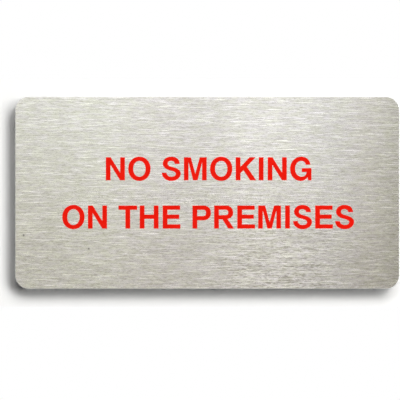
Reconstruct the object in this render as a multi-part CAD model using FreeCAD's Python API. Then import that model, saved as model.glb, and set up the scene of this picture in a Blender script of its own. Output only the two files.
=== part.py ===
"""A small wall notice plate: one sheet of brushed stainless steel with rounded
corners, held to the wall by strips of double-sided foam tape on its back.

The frame's origin is the middle of the tape's wall side. +Z is up, +X is to the
reader's right, and the face that is read looks along -Y. Lengths are in millimetres.
"""
import FreeCAD, Part
import os

# The sheet of stainless steel
plate_width = 160.0
plate_height = 80.0
plate_thickness = 1.5
corner_radius = 5.5

# The cut outline is deburred: a rolled-over rim in front, a lighter one behind
front_rim_radius = 0.3
back_rim_radius = 0.12

# Double-sided foam tape, cut square from the roll
tape_thickness = 1.0
tape_width = 12.0
tape_end_margin = 6.0
tape_edge_margin = 6.0

# The stack is built forward from the wall
forward = FreeCAD.Vector(0, -1, 0)
level = FreeCAD.Vector(1, 0, 0)
wall_side = 0.0
plate_back = wall_side - tape_thickness
plate_front = plate_back - plate_thickness
same_plane = 1e-6


def rounded_outline(width, height, radius, y):
    """The closed outline of a rectangle with round corners, centred in the plane at y."""
    corner_x = width / 2 - radius
    corner_z = height / 2 - radius
    centres = ((corner_x, corner_z), (-corner_x, corner_z), (-corner_x, -corner_z), (corner_x, -corner_z))
    corners = []
    for quarter, (x, z) in enumerate(centres):
        turned = 90.0 * quarter
        corners.append(Part.makeCircle(radius, FreeCAD.Vector(x, y, z), forward, turned, turned + 90.0))
    edges = []
    for corner, following in zip(corners, corners[1:] + corners[:1]):
        edges.append(corner)
        edges.append(Part.makeLine(corner.Vertexes[1].Point, following.Vertexes[0].Point))
    return Part.Wire(edges)


def rim_edges(solid, y):
    """The edges of a solid that lie in the plane at y."""
    return [
        edge for edge in solid.Edges
        if abs(edge.BoundBox.YMin - y) < same_plane and abs(edge.BoundBox.YMax - y) < same_plane
    ]


def make_plate():
    """The sheet, cut to its outline, with both rims deburred."""
    outline = rounded_outline(plate_width, plate_height, corner_radius, plate_back)
    sheet = Part.Face(outline).extrude(forward * plate_thickness)
    front_rolled = sheet.makeFillet(front_rim_radius, rim_edges(sheet, plate_front))
    both_rolled = front_rolled.makeFillet(back_rim_radius, rim_edges(front_rolled, plate_back))
    return both_rolled.Solids[0]


def make_tape(z):
    """One level strip of tape between the wall and the plate, with its middle at height z."""
    length = plate_width - 2 * tape_end_margin
    corner = FreeCAD.Vector(-length / 2, wall_side, z - tape_width / 2)
    strip = Part.makePlane(length, tape_width, corner, forward, level)
    return strip.extrude(forward * tape_thickness)


outer_row = plate_height / 2 - tape_edge_margin - tape_width / 2
pieces = {
    "plate": make_plate(),
    "tape_top": make_tape(outer_row),
    "tape_middle": make_tape(0.0),
    "tape_bottom": make_tape(-outer_row),
}

os.makedirs("parts", exist_ok=True)
for name, solid in pieces.items():
    solid.exportStep("parts/" + name + ".step")
    box = solid.BoundBox
    print(name, solid.ShapeType, solid.isValid(), round(solid.Volume, 2),
          [round(v, 3) for v in (box.XMin, box.YMin, box.ZMin, box.XMax, box.YMax, box.ZMax)])
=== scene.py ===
import math
import bpy
from mathutils import Matrix, Vector


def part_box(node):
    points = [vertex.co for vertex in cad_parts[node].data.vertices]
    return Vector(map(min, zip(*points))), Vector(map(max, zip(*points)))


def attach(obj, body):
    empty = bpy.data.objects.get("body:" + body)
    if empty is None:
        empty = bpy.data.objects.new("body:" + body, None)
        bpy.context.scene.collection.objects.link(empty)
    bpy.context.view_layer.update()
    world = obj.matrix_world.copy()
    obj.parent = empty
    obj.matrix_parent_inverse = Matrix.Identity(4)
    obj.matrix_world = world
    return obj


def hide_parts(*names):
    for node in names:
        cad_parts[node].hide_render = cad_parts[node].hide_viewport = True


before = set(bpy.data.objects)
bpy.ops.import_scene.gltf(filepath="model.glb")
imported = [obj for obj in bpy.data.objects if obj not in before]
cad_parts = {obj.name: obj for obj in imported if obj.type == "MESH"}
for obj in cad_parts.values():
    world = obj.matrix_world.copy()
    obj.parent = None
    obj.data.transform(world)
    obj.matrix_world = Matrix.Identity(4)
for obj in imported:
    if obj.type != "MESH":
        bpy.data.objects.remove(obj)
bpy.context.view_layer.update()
print("frame loaded:", sorted(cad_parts))

mm = 0.001
plateLow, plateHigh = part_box("plate")
readFace = plateLow.y
plateMiddle = (plateLow + plateHigh) / 2
upright = (math.radians(90), 0, 0)   # stands a level panel up, and turns a camera from the floor to the wall
noiseRange = (0.3, 0.7)              # most of a noise's heights lie between these


# Shader nodes. A Flow is one socket, and a sum or product of Flows adds its Math nodes.
class Flow:
    def __init__(self, bench, socket):
        self.bench = bench
        self.socket = socket

    def __add__(self, other):
        return self.bench.calculate("ADD", self, other)

    def __radd__(self, other):
        return self.bench.calculate("ADD", other, self)

    def __sub__(self, other):
        return self.bench.calculate("SUBTRACT", self, other)

    def __rsub__(self, other):
        return self.bench.calculate("SUBTRACT", other, self)

    def __mul__(self, other):
        return self.bench.calculate("MULTIPLY", self, other)

    def __rmul__(self, other):
        return self.bench.calculate("MULTIPLY", other, self)


# A Bench is the node tree that one finish is put together on.
class Bench:
    def __init__(self, tree):
        self.tree = tree
        self.tree.nodes.clear()

    # Every node is made here: settings first, then a value or a Flow for each named socket.
    def add(self, kind, settings=None, inputs=None, output=0):
        node = self.tree.nodes.new(kind)
        for name, value in (settings or {}).items():
            setattr(node, name, value)
        for name, value in (inputs or {}).items():
            if isinstance(value, Flow):
                self.tree.links.new(value.socket, node.inputs[name])
            else:
                node.inputs[name].default_value = value
        return Flow(self, node.outputs[output]) if len(node.outputs) else node

    def calculate(self, operation, first, second=0.0):
        return self.add("ShaderNodeMath", {"operation": operation}, {0: first, 1: second})

    # 0 below low, 1 above high, and a smooth rise between them.
    def rise(self, value, low, high):
        settings = {"interpolation_type": "SMOOTHSTEP"}
        return self.add("ShaderNodeMapRange", settings, {"Value": value, "From Min": low, "From Max": high})

    def blendColours(self, factor, first, second, blend="MIX"):
        settings = {"data_type": "RGBA", "blend_type": blend}
        return self.add("ShaderNodeMix", settings, {0: factor, 6: first, 7: second}, 2)

    def objectPlace(self):
        return self.add("ShaderNodeTexCoord", output="Object")

    def split(self, place):
        whole = self.add("ShaderNodeSeparateXYZ", {}, {0: place})
        sockets = whole.socket.node.outputs
        return [Flow(self, socket) for socket in sockets]

    def moveBy(self, place, offset):
        return self.add("ShaderNodeVectorMath", {"operation": "ADD"}, {0: place, 1: offset})

    # Noise whose grains measure about size, a length for each axis.
    def grain(self, place, size, detail=2.0, roughness=0.5):
        counts = tuple(1.0 / length for length in size)
        shrunk = self.add("ShaderNodeVectorMath", {"operation": "MULTIPLY"}, {0: place, 1: counts})
        inputs = {"Vector": shrunk, "Scale": 1.0, "Detail": detail, "Roughness": roughness}
        return self.add("ShaderNodeTexNoise", {"noise_dimensions": "3D"}, inputs)

    # How far a place lies from the middle of its cell, for cells about this far apart
    def cells(self, place, size):
        return self.add("ShaderNodeTexVoronoi", {}, {"Vector": place, "Scale": 1 / size})

    def bump(self, height, depth, strength=1.0):
        return self.add("ShaderNodeBump", {}, {"Strength": strength, "Distance": depth, "Height": height})

    def glow(self, colour):
        return self.add("ShaderNodeEmission", {}, {"Color": colour, "Strength": 1.0})

    def blendShaders(self, factor, first, second):
        return self.add("ShaderNodeMixShader", {}, {0: factor, 1: first, 2: second})

    # 1 once a matt surface has scattered the ray
    def scattered(self):
        return self.calculate("GREATER_THAN", self.add("ShaderNodeLightPath", output="Diffuse Depth"), 0.5)

    # 1 for a ray that the picture, a mirror or glass sends out, and 0 once a matt surface has scattered it
    def shownRays(self, *kinds):
        shown = 0.0
        for kind in kinds:
            shown = shown + self.add("ShaderNodeLightPath", output=kind)
        return shown * (1 - self.scattered())

    def finishSurface(self, shader):
        self.add("ShaderNodeOutputMaterial", {}, {"Surface": shader})


def newFinish(name):
    material = bpy.data.materials.new(name)
    material.use_nodes = True
    return material, Bench(material.node_tree)


def grey(level):
    return (level, level, level, 1.0)


# Brushed stainless steel
steel = {
    "light": (0.98, 0.962, 0.91, 1.0),       # crest of a brush line
    "dark": (0.20, 0.185, 0.14, 1.0),        # its groove
    "lines": {                               # length, height, slip and weight of each sort of brush line
        "shorts": (1.3 * mm, 0.20 * mm, 0.10, 0.42),
        "strands": (4.0 * mm, 0.18 * mm, 0.38, 0.22),
        "hairs": (18 * mm, 0.15 * mm, 0.618, 0.31),
        "lanes": (40 * mm, 1.0 * mm, 0.618, 0.05),
    },
    "lineHeights": (0.163, 0.823),           # where the lines' relief is darkest and lightest
    "glints": (7 * mm, 0.15 * mm, 0.50, 0.70),   # as the lines, but the last value is how much a glint adds
    "glintHeights": (0.63, 0.82),            # where in the noise a glint begins, and is whole
    "waver": 0.06 * mm,                      # how far a line wanders up and down
    "waverGrain": (16 * mm, 16 * mm, 6 * mm),
    "lineDepth": 0.006 * mm,
    "roughness": 0.27,
    "roughnessSwing": 0.12,                  # how much rougher a crest is than a groove
    "anisotropy": 1.0,
    "anisotropyTurn": 0.25,                  # in whole turns
    "bite": {                                # how deep the brush bit, and how much deeper on some sides
        "least": 0.94,
        "right": 0.06,
        "low": 0.12,
        "lowRange": (-34 * mm, 8 * mm),
        "swath": 1.0,                        # low down in one upright swath
        "swathStarts": (-4 * mm, 22 * mm),
        "swathEnds": (36 * mm, 62 * mm),
    },
    "warmth": {                              # how much warmer some sides of the sheet are, and how far in
        "low": 0.42,
        "left": 0.22,
        "leftEnds": 40 * mm,
        "right": 0.52,
        "rightStarts": 50 * mm,
        "coolTint": (0.990, 1.000, 1.035, 1.0),
        "warmTint": (1.032, 0.984, 0.941, 1.0),
        "leftGreen": (-50 * mm, -15 * mm),
        "rightGreen": (62 * mm, 78 * mm),
        "greenTint": (1.006, 1.030, 1.006, 1.0),
    },
    "fine": {                                # small patches whose lines differ a little in tint
        "grain": (4 * mm, 2 * mm, 1.2 * mm),
        "shift": (0.3, 0.1, 0.7),            # takes them away from the noise of the lines
        "yellowTint": (0.993, 1.002, 0.952, 1.0),
        "blueTint": (1.007, 0.995, 1.030, 1.0),
    },
    "specks": (                              # across, up and radius of two small dark spots in the face
        (-76.5 * mm, -17.6 * mm, 0.42 * mm),
        (-49.3 * mm, -23.2 * mm, 0.36 * mm),
    ),
    "speckEdge": (0.6, 1.2),                 # where a spot's edge begins and ends, in radii
    "speckStrength": 0.9,
    "speckColour": (0.12, 0.115, 0.10, 1.0),
    "brushFade": (0.001 * mm, 0.010 * mm),   # how far behind the face the lines begin to go, and are gone
    "rimDepth": (0.25 * mm, 0.40 * mm),      # where the rim gives way to the cut edge
    "rimColour": (0.62, 0.605, 0.565, 1.0),
    "mill": {                                # the back, as it left the rolling mill
        "light": (0.60, 0.595, 0.58, 1.0),
        "dark": (0.40, 0.397, 0.385, 1.0),
        "rolledGrain": (18 * mm, 0.3 * mm, 0.3 * mm),
        "rolledWeight": 0.5,
        "mottleGrain": (0.9 * mm, 0.9 * mm, 0.7 * mm),
        "mottleWeight": 0.3,
        "patchGrain": (22 * mm, 22 * mm, 14 * mm),
        "patchWeight": 0.2,
        "heights": (0.36, 0.64),             # where this wear is darkest and lightest
        "roughness": 0.36,
        "roughnessSwing": 0.2,
        "depth": 0.01 * mm,
        "bumpStrength": 0.5,
    },
    "cut": {                                 # the cut edge, with marks through its thickness
        "light": (0.63, 0.62, 0.59, 1.0),
        "dark": (0.40, 0.395, 0.38, 1.0),
        "marks": (0.13 * mm, 3 * mm),        # how wide and how deep a mark is
        "facing": (0.3, 0.7),                # how squarely a face looks forward or back where the edge ends
    },
}


# The read face, from which the lines, the tints and the pits are drawn
def brushedFace(bench, place):
    x, y, z = bench.split(place)

    # The brush wandered a little as it was drawn across
    wander = bench.grain(place, steel["waverGrain"], detail=1.0)
    lift = (wander - 0.5) * steel["waver"] * 2

    # Each row starts further along by its slip, in lengths of a line, or the lines would stand in columns
    def brushLines(long, high, slip, shift, detail):
        along = x + z * (slip * long / high)
        slipped = bench.add("ShaderNodeCombineXYZ", {}, {0: along + shift, 1: y, 2: z + lift + shift})
        return bench.grain(slipped, (long, high, high), detail)

    # Each sort of line lies a metre further on in the noise than the sort before it
    relief = 0.0
    for shift, (long, high, slip, weight) in enumerate(steel["lines"].values()):
        relief = relief + brushLines(long, high, slip, shift, detail=1.0) * weight

    bite = steel["bite"]
    rightward = bench.rise(x, plateLow.x, plateHigh.x)
    lowdown = 1 - bench.rise(z, *bite["lowRange"])
    swath = bench.rise(x, *bite["swathStarts"]) - bench.rise(x, *bite["swathEnds"])
    depth = rightward * bite["right"] + lowdown * (swath * bite["swath"] + bite["low"]) + bite["least"]
    relief = (relief - 0.5) * depth + 0.5

    long, high, slip, extra = steel["glints"]
    spots = brushLines(long, high, slip, len(steel["lines"]), detail=0.0)
    glints = bench.rise(spots, *steel["glintHeights"])
    darkest, lightest = steel["lineHeights"]
    heights = {"Value": relief, "From Min": darkest, "From Max": lightest}
    bright = bench.add("ShaderNodeMapRange", {}, heights)
    colour = bench.blendColours(bright + glints * depth * extra, steel["dark"], steel["light"])

    fine = steel["fine"]
    across = bench.add("ShaderNodeCombineXYZ", {}, {0: x, 1: y, 2: z + lift})
    patches = bench.grain(bench.moveBy(across, fine["shift"]), fine["grain"], detail=1.0)
    tint = bench.blendColours(bench.rise(patches, *noiseRange), fine["yellowTint"], fine["blueTint"])
    colour = bench.blendColours(1.0, colour, tint, "MULTIPLY")

    # The sheet is a little warmer low down and towards its ends, and greener at both ends
    warmth = steel["warmth"]
    low = (1 - bench.rise(z, plateLow.z, plateHigh.z)) * warmth["low"]
    left = (1 - bench.rise(x, plateLow.x, warmth["leftEnds"])) * warmth["left"]
    right = bench.rise(x, warmth["rightStarts"], plateHigh.x) * warmth["right"]
    broad = bench.blendColours(low + left + right, warmth["coolTint"], warmth["warmTint"])
    colour = bench.blendColours(1.0, colour, broad, "MULTIPLY")
    ends = 1 - bench.rise(x, *warmth["leftGreen"]) + bench.rise(x, *warmth["rightGreen"])
    colour = bench.blendColours(ends, colour, warmth["greenTint"], "MULTIPLY")

    edgeStart, edgeEnd = steel["speckEdge"]
    speck = 0.0
    for speckX, speckZ, radius in steel["specks"]:
        middle = (speckX, readFace, speckZ)
        away = bench.add("ShaderNodeVectorMath", {"operation": "DISTANCE"}, {0: place, 1: middle}, 1)
        speck = speck + (1 - bench.rise(away, radius * edgeStart, radius * edgeEnd))
    colour = bench.blendColours(speck * steel["speckStrength"], colour, steel["speckColour"])

    height = relief - 0.5
    return bench.add("ShaderNodeBsdfPrincipled", {}, {
        "Base Color": colour,
        "Metallic": 1.0,
        "Roughness": steel["roughness"] + height * steel["roughnessSwing"],
        "Anisotropic": steel["anisotropy"],
        "Anisotropic Rotation": steel["anisotropyTurn"],
        "Normal": bench.bump(height, steel["lineDepth"]),
    })


# All that the brush didn't reach: the rolled rim, the cut edge and the back
def unbrushedSheet(bench, place):
    y = bench.split(place)[1]

    mill = steel["mill"]
    mottle = bench.grain(place, mill["mottleGrain"], detail=3.0, roughness=0.6)
    rolled = bench.grain(place, mill["rolledGrain"])
    patch = bench.grain(place, mill["patchGrain"], detail=1.0)
    worn = rolled * mill["rolledWeight"] + mottle * mill["mottleWeight"] + patch * mill["patchWeight"]
    back = bench.blendColours(bench.rise(worn, *mill["heights"]), mill["dark"], mill["light"])

    cut = steel["cut"]
    wide, deep = cut["marks"]
    marks = bench.grain(place, (wide, deep, wide), detail=1.0)
    edge = bench.blendColours(bench.rise(marks, *noiseRange), cut["dark"], cut["light"])
    normalY = bench.split(bench.add("ShaderNodeNewGeometry", output="Normal"))[1]
    side = 1 - bench.rise(bench.calculate("ABSOLUTE", normalY), *cut["facing"])
    colour = bench.blendColours(side, back, edge)
    height = worn * (1 - side) + marks * side

    # The rolled rim in front is polished plain by the deburring
    rimStart, rimEnd = steel["rimDepth"]
    pastRim = bench.rise(y, readFace + rimStart, readFace + rimEnd)
    return bench.add("ShaderNodeBsdfPrincipled", {}, {
        "Base Color": bench.blendColours(pastRim, steel["rimColour"], colour),
        "Metallic": 1.0,
        "Roughness": mill["roughness"] + (mottle - 0.5) * mill["roughnessSwing"],
        "Normal": bench.bump(height * pastRim, mill["depth"], mill["bumpStrength"]),
    })


def brushedStainless():
    material, bench = newFinish("brushedStainless")
    place = bench.objectPlace()
    y = bench.split(place)[1]
    fadeStart, fadeEnd = steel["brushFade"]
    unbrushed = bench.rise(y, readFace + fadeStart, readFace + fadeEnd)
    front, rest = brushedFace(bench, place), unbrushedSheet(bench, place)
    bench.finishSurface(bench.blendShaders(unbrushed, front, rest))
    return material


def dressPlate():
    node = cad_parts["plate"]
    node.data.materials.clear()
    node.data.materials.append(brushedStainless())
    print("plate dressed")


dressPlate()


# The printed notice
notice = {
    "words": ("NO SMOKING", "ON THE PREMISES"),
    "names": ("notice_line_upper", "notice_line_lower"),
    "baselines": (5.21 * mm, -14.9 * mm),    # height of each line's feet
    "middle": (0.6 * mm, 0.4 * mm),          # where each line is centred
    "inkThickness": 0.04 * mm,
    "sunk": 0.01 * mm,
    "curveSteps": 16,
    "ink": (0.928, 0.0108, 0.0029, 1.0),
    "inkThin": (0.860, 0.0088, 0.0019, 1.0),
    "cloudGrain": (3 * mm, 3 * mm, 3 * mm),  # where the ink lies thicker and thinner
    "peelGrain": (0.25 * mm, 0.25 * mm, 0.16 * mm),
    "peelDepth": 0.004 * mm,
    "peelStrength": 0.3,
    "roughness": 0.45,
    "roughnessSwing": 0.15,
    "gloss": 0.05,
}

# Letter proportions in millimetres, for a plain bold grotesque
face = {
    "cap": 9.6,
    "stem": 2.0,
    "bar": 1.75,
    "crossbar": 4.95,        # height of the middle bar
    "overshoot": 0.25,
    "swell": 0.08,           # how much thicker a round side is than a stem
    "bowlSwell": 0.05,       # and the side of a bowl
    "fullness": 0.58,        # how square the round letters are
    "space": 3.7,
    "upright": 0.86,         # clear space beside an upright stem
    "round": 0.53,
    "open": 0.45,            # beside an open side
    "slant": 0.2,
    "bowlTurn": 2.95,        # how far short of its right side a bowl's flat top begins to turn
    "bowlReach": 1.75,       # the length of its handle there
    "counterTurn": 3.30,
    "counterReach": 0.95,
}

cap = face["cap"]
stem = face["stem"]
bar = face["bar"]
top = cap + face["overshoot"]
foot = -face["overshoot"]


def corner(x, z):
    return {"at": (x, z), "before": (0, 0), "after": (0, 0)}


# A point where the outline passes smoothly along (dx, dz), with a handle length on each side.
def swing(x, z, dx, dz, before, after):
    return {"at": (x, z), "before": (-dx * before, -dz * before), "after": (dx * after, dz * after)}


# A sharp point that a curve leaves or reaches, with its handles given as offsets.
def cusp(x, z, before=(0, 0), after=(0, 0)):
    return {"at": (x, z), "before": before, "after": after}


def polygon(*points):
    return [corner(x, z) for x, z in points]


def ring(left, right, low, high):
    x, z = (left + right) / 2, (low + high) / 2
    reachX = (right - left) / 2 * face["fullness"]
    reachZ = (high - low) / 2 * face["fullness"]
    return [
        swing(right, z, 0, 1, reachZ, reachZ),
        swing(x, high, -1, 0, reachX, reachX),
        swing(left, z, 0, -1, reachZ, reachZ),
        swing(x, low, 1, 0, reachX, reachX),
    ]


# Each letter is drawn in millimetres from its left foot, and gives its width and its outlines
def letterE():
    wide, upper, waist, middle = 7.4, 7.25, 6.9, face["crossbar"]
    return wide, [polygon(
        (0, 0), (wide, 0), (wide, bar), (stem, bar), (stem, middle - bar / 2), (waist, middle - bar / 2),
        (waist, middle + bar / 2), (stem, middle + bar / 2), (stem, cap - bar), (upper, cap - bar),
        (upper, cap), (0, cap),
    )]


def letterH():
    wide, middle = 7.85, face["crossbar"]
    inner = wide - stem
    return wide, [polygon(
        (0, 0), (stem, 0), (stem, middle - bar / 2), (inner, middle - bar / 2), (inner, 0), (wide, 0),
        (wide, cap), (inner, cap), (inner, middle + bar / 2), (stem, middle + bar / 2), (stem, cap),
        (0, cap),
    )]


def letterI():
    return stem, [polygon((0, 0), (stem, 0), (stem, cap), (0, cap))]


def letterK():
    wide = 8.55
    return wide, [polygon(
        (0, 0), (stem, 0), (stem, 2.95), (3.2, 4.2), (6.05, 0), (wide, 0), (4.65, 5.68), (8.3, cap),
        (5.75, cap), (stem, 5.6), (stem, cap), (0, cap),
    )]


def letterM():
    wide, hip, shoulder, tip, notch = 9.5, 1.92, 2.9, 0.92, 7.55
    middle = wide / 2
    return wide, [polygon(
        (0, 0), (hip, 0), (hip, notch), (middle - tip, 0), (middle + tip, 0), (wide - hip, notch),
        (wide - hip, 0), (wide, 0), (wide, cap), (wide - shoulder, cap), (middle, 2.75),
        (shoulder, cap), (0, cap),
    )]


def letterN():
    wide, hip, shoulder, notch = 7.95, 1.95, 2.0, 3.15
    return wide, [polygon(
        (0, 0), (hip, 0), (hip, cap - notch), (wide - shoulder, 0), (wide, 0), (wide, cap),
        (wide - hip, cap), (wide - hip, notch), (shoulder, cap), (0, cap),
    )]


def letterT():
    wide = 7.8
    left, right = (wide - stem) / 2, (wide + stem) / 2
    return wide, [polygon(
        (left, 0), (right, 0), (right, cap - bar), (wide, cap - bar), (wide, cap), (0, cap),
        (0, cap - bar), (left, cap - bar),
    )]


def letterO():
    wide = 9.3
    side = stem + face["swell"]
    return wide, [ring(0, wide, foot, top), ring(side, wide - side, foot + bar, top - bar)]


# The bowl of P and R: its outside, then its counter
def bowl(right, low, feet):
    middle = (low + cap) / 2
    reach = (cap - low) / 2 * face["fullness"]
    outside = [
        cusp(right - face["bowlTurn"], cap, before=(face["bowlReach"], 0)),
        corner(0, cap),
        corner(0, 0),
        corner(stem, 0),
        *feet,
        swing(right, middle, 0, 1, reach, reach),
    ]
    inner = right - stem - face["bowlSwell"]
    innerTurn = right - face["counterTurn"]
    innerLow, innerHigh = low + bar, cap - bar
    innerReach = (innerHigh - innerLow) / 2 * face["fullness"]
    counter = [
        corner(stem, innerLow),
        cusp(innerTurn, innerLow, after=(face["counterReach"], 0)),
        swing(inner, middle, 0, 1, innerReach, innerReach),
        cusp(innerTurn, innerHigh, before=(face["counterReach"], 0)),
        corner(stem, innerHigh),
    ]
    return [outside, counter]


def letterP():
    wide, low = 7.7, 3.45
    return wide, bowl(wide, low, [corner(stem, low), cusp(4.65, low, after=(face["bowlReach"], 0))])


def letterR():
    wide, low = 8.35, 3.85
    right = 7.95
    leg = [corner(stem, low), corner(3.45, low), corner(5.9, 0), corner(wide, 0)]
    return wide, bowl(right, low, leg + [cusp(5.62, 4.02, after=(1.35, 0.28))])


def letterG():
    wide, shelf = 8.9, 5.1
    middle = cap / 2
    return wide, [[
        cusp(8.5, 6.5, after=(-0.3, 1.95)),
        swing(4.65, top, -1, 0, 2.3, 2.65),
        swing(0, middle, 0, -1, 2.9, 2.9),
        swing(4.45, foot, 1, 0, 2.55, 1.3),
        cusp(7.25, 1.25, before=(-0.6, -0.85)),
        corner(7.55, 0),
        corner(wide, 0),
        corner(wide, shelf),
        corner(4.85, shelf),
        corner(4.85, shelf - 1.65),
        cusp(6.85, shelf - 1.65, after=(-0.15, -1.25)),
        swing(4.8, foot + bar, -1, 0, 1.25, 1.55),
        swing(stem + face["swell"], middle, 0, 1, 1.9, 1.9),
        swing(4.75, top - bar, 1, 0, 1.55, 1.0),
        cusp(6.5, 6.5, before=(-0.15, 0.85)),
    ]]


def letterS():
    wide = 7.9
    return wide, [[
        cusp(7.45, 6.85, after=(-0.02, 1.9)),
        swing(3.9, top, -1, 0, 2.15, 2.1),
        swing(0.4, 6.95, 0, -1, 1.65, 1.45),
        swing(3.45, 4.15, 0.975, -0.22, 1.65, 1.6),
        swing(5.85, 2.72, 0, -1, 0.62, 0.75),
        swing(4.0, foot + bar, -1, 0, 1.1, 1.2),
        cusp(2.0, 3.15, before=(0.06, -1.0)),
        cusp(0, 3.15, after=(0.05, -1.95)),
        swing(3.95, foot, 1, 0, 2.15, 2.35),
        swing(wide, 2.85, 0, 1, 1.7, 1.5),
        swing(4.45, 5.55, -0.975, 0.22, 1.7, 1.55),
        swing(2.45, 6.98, 0, 1, 0.62, 0.68),
        swing(3.88, top - bar, 1, 0, 0.9, 0.95),
        cusp(5.42, 6.85, before=(-0.06, 0.78)),
    ]]


# Each letter's drawing, and the kind of side it shows to its left and right neighbour
letters = {
    "E": (letterE, "upright", "open"),
    "G": (letterG, "round", "upright"),
    "H": (letterH, "upright", "upright"),
    "I": (letterI, "upright", "upright"),
    "K": (letterK, "upright", "slant"),
    "M": (letterM, "upright", "upright"),
    "N": (letterN, "upright", "upright"),
    "O": (letterO, "round", "round"),
    "P": (letterP, "upright", "open"),
    "R": (letterR, "upright", "open"),
    "S": (letterS, "open", "open"),
    "T": (letterT, "slant", "slant"),
}


# The outlines of one line of words, each with its place along the line, and where the ink starts and ends
def setLine(words):
    placed = []
    along = 0.0
    for letter in words:
        if letter == " ":
            along += face["space"]
            continue
        draw, leftSide, rightSide = letters[letter]
        wide, outlines = draw()
        along += face[leftSide]
        placed.extend((along, outline) for outline in outlines)
        along += wide + face[rightSide]
    lastSide = face[letters[words[-1]][2]]
    firstSide = face[letters[words[0]][1]]
    return placed, firstSide, along - lastSide


def printLine(name, words, baseline, middle, ink):
    drawing = bpy.data.curves.new(name, "CURVE")
    drawing.dimensions = "2D"
    drawing.fill_mode = "BOTH"
    drawing.resolution_u = notice["curveSteps"]
    drawing.extrude = (notice["inkThickness"] + notice["sunk"]) / 2 / mm
    placed, start, end = setLine(words)
    for along, outline in placed:
        spline = drawing.splines.new("BEZIER")
        spline.bezier_points.add(len(outline) - 1)
        for point, knot in zip(spline.bezier_points, outline):
            x, z = knot["at"]
            x += along - (start + end) / 2
            point.handle_left_type = point.handle_right_type = "FREE"
            point.co = (x, z, 0)
            point.handle_left = (x + knot["before"][0], z + knot["before"][1], 0)
            point.handle_right = (x + knot["after"][0], z + knot["after"][1], 0)
        spline.use_cyclic_u = True
    line = bpy.data.objects.new(name, drawing)
    bpy.context.scene.collection.objects.link(line)
    bpy.ops.object.select_all(action="DESELECT")
    line.select_set(True)
    bpy.context.view_layer.objects.active = line
    bpy.ops.object.convert(target="MESH")
    line = bpy.context.view_layer.objects.active

    # From the drawing's millimetres onto the read face
    depth = readFace - notice["inkThickness"] / 2 + notice["sunk"] / 2
    place = Matrix.Translation((middle, depth, baseline))
    line.data.transform(place @ Matrix.Rotation(math.radians(90), 4, "X") @ Matrix.Scale(mm, 4))
    line.data.materials.clear()
    line.data.materials.append(ink)
    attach(line, "root")


def redInk():
    material, bench = newFinish("redNoticeInk")
    place = bench.objectPlace()
    cloud = bench.grain(place, notice["cloudGrain"])
    peel = bench.grain(place, notice["peelGrain"])
    bench.finishSurface(bench.add("ShaderNodeBsdfPrincipled", {}, {
        "Base Color": bench.blendColours(bench.rise(cloud, *noiseRange), notice["inkThin"], notice["ink"]),
        "Roughness": notice["roughness"] + (peel - 0.5) * notice["roughnessSwing"],
        "Specular IOR Level": notice["gloss"],
        "Normal": bench.bump(peel, notice["peelDepth"], notice["peelStrength"]),
    }))
    return material


def printNotice():
    ink = redInk()
    lines = zip(notice["names"], notice["words"], notice["baselines"], notice["middle"])
    for name, words, baseline, middle in lines:
        printLine(name, words, baseline, middle, ink)
        print("printed", name)


printNotice()


# Foam tape on the back
tape = {
    "nodes": ("tape_top", "tape_middle", "tape_bottom"),
    "names": ("foam_strip_top", "foam_strip_middle", "foam_strip_bottom"),
    "waist": 0.14 * mm,          # how far the foam draws in between its two faces
    "ripple": 0.05 * mm,
    "rippleLength": 9 * mm,
    "rippleSlant": 900,          # how fast the ripple moves on with height, in radians per metre
    "cuts": 60,                  # lengths that a strip is divided into, to carry the ripple
    "edge": 0.08 * mm,           # how far its edges are rounded
    "edgeSteps": 2,
    "smoothAngle": 40,
    "cellSize": 0.16 * mm,       # the bubbles that show at the cut sides, with painted shade in their hollows
    "cellRange": (0.1, 0.6),
    "foamHollowShade": (0.72, 0.72, 0.70, 1.0),
    "foamLight": (0.86, 0.86, 0.84, 1.0),
    "foamRoughness": 0.8,
    "tackRange": (-0.06 * mm, -0.02 * mm),   # where the foam gives way to its sticky face on the wall
    "tackDark": (0.83, 0.826, 0.80, 1.0),
    "tackLight": (0.88, 0.877, 0.86, 1.0),
    "tackRoughness": 0.4,
    "roughnessSwing": 0.3,
    "patchGrain": (5 * mm, 5 * mm, 5 * mm),
    "peelGrain": (0.45 * mm, 0.45 * mm, 0.45 * mm),
    "pitSize": 1.2 * mm,         # how far apart the pits in the sticky face lie, each darkened with painted shade
    "pitRange": (0.06, 0.14),
    "pitShade": (0.62, 0.61, 0.57, 1.0),
    "pitStrength": 0.5,
    "bumpDepth": 0.05 * mm,
    "bumpStrength": 0.6,
}


def foamTape():
    material, bench = newFinish("whiteFoamTape")
    place = bench.objectPlace()
    y = bench.split(place)[1]
    tacky = bench.rise(y, *tape["tackRange"])

    cells = bench.cells(place, tape["cellSize"])
    # Each bubble is painted darker in its hollow, as painted shade
    foam = bench.blendColours(bench.rise(cells, *tape["cellRange"]), tape["foamHollowShade"], tape["foamLight"])

    patches = bench.grain(place, tape["patchGrain"], detail=3.0)
    peel = bench.grain(place, tape["peelGrain"])
    pits = (1 - bench.rise(bench.cells(place, tape["pitSize"]), *tape["pitRange"])) * tape["pitStrength"]
    tack = bench.blendColours(bench.rise(patches, *noiseRange), tape["tackDark"], tape["tackLight"])
    # The pits are darkened in colour as painted shade in their hollows
    tack = bench.blendColours(pits, tack, tape["pitShade"])

    height = cells * (1 - tacky) + (peel - pits) * tacky
    smoother = tape["foamRoughness"] - tape["tackRoughness"]
    uneven = (peel - 0.5) * tacky * tape["roughnessSwing"]
    bench.finishSurface(bench.add("ShaderNodeBsdfPrincipled", {}, {
        "Base Color": bench.blendColours(tacky, foam, tack),
        "Roughness": tape["foamRoughness"] - tacky * smoother + uneven,
        "Normal": bench.bump(height, tape["bumpDepth"], tape["bumpStrength"]),
    }))
    return material


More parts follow.
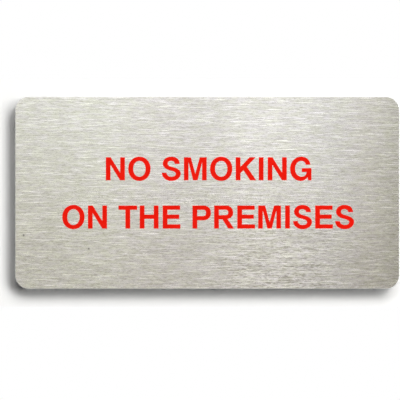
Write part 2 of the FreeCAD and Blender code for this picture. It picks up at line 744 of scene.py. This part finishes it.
def foamStrip():
    low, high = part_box(tape["nodes"][1])
    size = high - low
    middle = (low + high) / 2
    bpy.ops.object.select_all(action="DESELECT")
    bpy.ops.mesh.primitive_cube_add(size=1, location=middle, scale=size)
    strip = bpy.context.active_object
    strip.name = tape["names"][1]
    bpy.ops.object.transform_apply(location=True, rotation=True, scale=True)
    bpy.ops.object.mode_set(mode="EDIT")
    for step in range(1, tape["cuts"]):
        x = low.x + size.x * step / tape["cuts"]
        bpy.ops.mesh.select_all(action="SELECT")
        bpy.ops.mesh.bisect(plane_co=(x, 0, 0), plane_no=(1, 0, 0))
    bpy.ops.mesh.select_all(action="SELECT")
    bpy.ops.mesh.bisect(plane_co=(0, middle.y, 0), plane_no=(0, 1, 0))
    bpy.ops.object.mode_set(mode="OBJECT")

    # The loop midway between the two faces is drawn in and rippled
    near = 0.1 * mm
    for vertex in strip.data.vertices:
        if abs(vertex.co.y - middle.y) < near:
            phase = vertex.co.x / tape["rippleLength"] * 2 * math.pi + vertex.co.z * tape["rippleSlant"]
            pull = tape["waist"] + tape["ripple"] * math.sin(phase)
            vertex.co.z -= math.copysign(pull, vertex.co.z - middle.z)
            if abs(abs(vertex.co.x) - high.x) < near:
                vertex.co.x -= math.copysign(pull, vertex.co.x)

    bpy.ops.object.modifier_add(type="BEVEL")
    rounding = strip.modifiers[-1]
    rounding.width = tape["edge"]
    rounding.segments = tape["edgeSteps"]
    rounding.limit_method = "ANGLE"
    bpy.ops.object.modifier_apply(modifier=rounding.name)
    bpy.ops.object.shade_smooth_by_angle(angle=math.radians(tape["smoothAngle"]))
    return strip


def layTape():
    material = foamTape()
    first = foamStrip()
    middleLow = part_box(tape["nodes"][1])[0]
    for node, name in zip(tape["nodes"], tape["names"]):
        strip = first
        if name != first.name:
            strip = bpy.data.objects.new(name, first.data.copy())
            bpy.context.scene.collection.objects.link(strip)
            strip.data.transform(Matrix.Translation(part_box(node)[0] - middleLow))
        strip.data.materials.clear()
        strip.data.materials.append(material)
        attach(strip, "root")
        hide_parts(node)
    print("tape laid")


layTape()


# Camera, straight on, at the height and side that frame the plate as in the picture
shot = {
    "lens": 90.0,
    "sensor": 36.0,
    "frameWidth": 166.65 * mm,         # what the picture takes in at the read face
    "aim": (-3.00 * mm, -2.99 * mm),   # across and up, the middle of the picture
    "nearest": 0.01,
    "farthest": 50,
}


def setCamera():
    camera = bpy.data.objects.new("camera", bpy.data.cameras.new("camera"))
    camera.data.lens = shot["lens"]
    camera.data.sensor_width = shot["sensor"]
    distance = shot["frameWidth"] * shot["lens"] / shot["sensor"]
    camera.location = (shot["aim"][0], readFace - distance, shot["aim"][1])
    camera.rotation_euler = upright
    camera.data.clip_start = shot["nearest"]
    camera.data.clip_end = shot["farthest"]
    bpy.context.scene.collection.objects.link(camera)
    bpy.context.scene.camera = camera
    return distance


cameraDistance = setCamera()


# Studio
studio = {
    "keys": (                    # name, lean right and up per unit forward, width, height and power
        ("keyAbove", 0.24, 2.25, 3.19, 0.64, 64.9),
        ("keyCorner", 1.47, 1.72, 1.09, 1.34, 76.9),
        ("keySide", 2.17, 0.33, 0.88, 3.22, 101.1),
    ),
    "keyDistance": 3.0,
    "keyColour": (1.0, 0.997, 0.981),
    "ambient": (0.0050, 0.0048, 0.0023, 1.0),   # the dim light all round, as the warm metal gives back
    "backTowards": (-0.6, 1, 0.8),
    "backDistance": 1.2,
    "backSize": (0.8, 0.8),
    "backPower": 14.0,
    "gapLean": 0.3,              # how far up the lamps beside the plate stand, per unit sideways
    "gapDistance": 1.2,
    "gapSize": (0.01, 0.01),
    "gapPower": 6.0,
    "wallSize": 1.6,
    "wallMiddle": (0, 0.1 * mm, 0.2),   # a hair behind the tape
    "wallWhite": 1.10,
    "wallFade": (6.6 * mm, 8.2 * mm),   # how far outside the plate the wall turns plain white
    "cardSize": 1.6,
    "cardBehind": 50 * mm,       # how far behind the camera it stands
    "cardLow": 0.02,             # brightness of the card's foot and head
    "cardHigh": 1.88,
    "cardFoot": (1.0, 0.975, 0.925, 1.0),
    "cardHead": (1.0, 1.006, 1.015, 1.0),
    "cardRise": 0.30,            # half the height over which it brightens
    "cardTintRise": 0.25,        # and over which its colour changes
    "cardBands": (               # middle, half width, soft edge, slant and gain of each upright band
        (0.060, 0.030, 0.030, 0.0, 0.17),
        (-0.085, 0.025, 0.040, 0.0, 0.05),
        (0.42, 0.28, 0.08, 0.25, -0.40),
        (0.33, 0.17, 0.01, 0.00, -0.16),
        (-0.40, 0.27, 0.08, 0.0, -0.07),
    ),
    "floorSize": 6,
    "floorDrop": 0.30,
    "floorBounce": 0.02,         # a dim floor for light that bounces, so that shadows stay deep
}


def panel(name, size, location, turn, finish):
    bpy.ops.object.select_all(action="DESELECT")
    bpy.ops.mesh.primitive_plane_add(size=size, location=location, rotation=turn)
    bpy.ops.object.transform_apply(location=True, rotation=True, scale=True)
    board = bpy.context.active_object
    board.name = name
    board.data.materials.append(finish)
    return board


def wallFinish():
    material, bench = newFinish("wallWhite")
    facing = 1 - bench.add("ShaderNodeNewGeometry", output="Backfacing")
    seen = bench.shownRays("Is Camera Ray") * facing
    mirrored = bench.shownRays("Is Glossy Ray", "Is Transmission Ray")
    clear = bench.add("ShaderNodeBsdfTransparent")
    lit = bench.add("ShaderNodeBsdfDiffuse", {}, {"Color": grey(studio["wallWhite"])})
    glow = bench.glow(grey(1.0))

    # Beyond the shadow's reach the wall is plain white
    x, y, z = bench.split(bench.objectPlace())
    beyondX = bench.calculate("ABSOLUTE", x) - plateHigh.x
    beyondZ = bench.calculate("ABSOLUTE", z) - plateHigh.z
    beyond = bench.rise(bench.calculate("MAXIMUM", beyondX, beyondZ), *studio["wallFade"])
    board = bench.blendShaders(beyond, lit, glow)

    # The lamp behind must not reach the plate's back and from there the shadow in front
    blocked = bench.add("ShaderNodeLightPath", output="Is Shadow Ray") * bench.scattered()
    shown = bench.blendShaders(seen + blocked, clear, board)
    bench.finishSurface(bench.blendShaders(mirrored, shown, glow))
    return material


def floorFinish():
    material, bench = newFinish("floorWhite")
    seen = bench.shownRays("Is Camera Ray", "Is Glossy Ray", "Is Transmission Ray")
    lit = bench.add("ShaderNodeBsdfDiffuse", {}, {"Color": grey(studio["floorBounce"])})
    bench.finishSurface(bench.blendShaders(seen, lit, bench.glow(grey(1.0))))
    return material


def cardFinish():
    material, bench = newFinish("studioCard")
    x, y, z = bench.split(bench.add("ShaderNodeNewGeometry", output="Position"))
    lift = bench.rise(z, -studio["cardRise"], studio["cardRise"])
    level = lift * (studio["cardHigh"] - studio["cardLow"]) + studio["cardLow"]
    gain = 1.0
    for middle, half, soft, slant, extra in studio["cardBands"]:
        away = bench.calculate("ABSOLUTE", x - z * slant - middle)
        gain = gain + (1 - bench.rise(away, half - soft, half + soft)) * extra
    level = level * gain
    tintLift = bench.rise(z, -studio["cardTintRise"], studio["cardTintRise"])
    tint = bench.blendColours(tintLift, studio["cardFoot"], studio["cardHead"])
    bench.finishSurface(bench.glow(bench.blendColours(1.0, tint, level, "MULTIPLY")))
    return material


def buildStudio():
    panel("wall", studio["wallSize"], studio["wallMiddle"], upright, wallFinish())
    panel("floor", studio["floorSize"], (0, 0, -studio["floorDrop"]), (0, 0, 0), floorFinish())

    # A graded card behind the camera, bright above and dark below, for the metal to reflect
    cardMiddle = (0, -cameraDistance - studio["cardBehind"], 0)
    card = panel("studioCard", studio["cardSize"], cardMiddle, upright, cardFinish())
    card.visible_camera = card.visible_diffuse = card.visible_shadow = False

    world = bpy.data.worlds.new("studioWorld")
    world.use_nodes = True
    bench = Bench(world.node_tree)
    seen = bench.shownRays("Is Camera Ray", "Is Glossy Ray", "Is Transmission Ray")
    colour = bench.blendColours(seen, studio["ambient"], grey(1.0))
    sky = bench.add("ShaderNodeBackground", {}, {"Color": colour, "Strength": 1.0})
    bench.add("ShaderNodeOutputWorld", {}, {"Surface": sky})
    bpy.context.scene.world = world


def addLamp(name, towards, distance, size, power, glossy=True):
    lamp = bpy.data.objects.new(name, bpy.data.lights.new(name, "AREA"))
    lamp.data.shape = "ELLIPSE"
    lamp.data.size, lamp.data.size_y = size
    lamp.data.energy = power
    lamp.data.color = studio["keyColour"]
    direction = Vector(towards).normalized()
    lamp.location = plateMiddle + direction * distance
    lamp.rotation_euler = direction.to_track_quat("Z", "Y").to_euler()
    lamp.visible_glossy = glossy
    bpy.context.scene.collection.objects.link(lamp)


def lightStudio():
    distance = studio["keyDistance"]
    for name, right, up, wide, high, power in studio["keys"]:
        addLamp(name, (right, -1, up), distance, (wide, high), power, glossy=False)
    towards = studio["backTowards"]
    addLamp("backLight", towards, studio["backDistance"], studio["backSize"], studio["backPower"])

    # These skim along the wall and light the ends of the tape, in the gap behind the plate
    for name, side in (("gapLeft", -1), ("gapRight", 1)):
        towards = (side, 0, studio["gapLean"])
        addLamp(name, towards, studio["gapDistance"], studio["gapSize"], studio["gapPower"], glossy=False)
    bpy.context.scene.view_settings.view_transform = "Standard"
    print("studio lit")


buildStudio()
lightStudio()
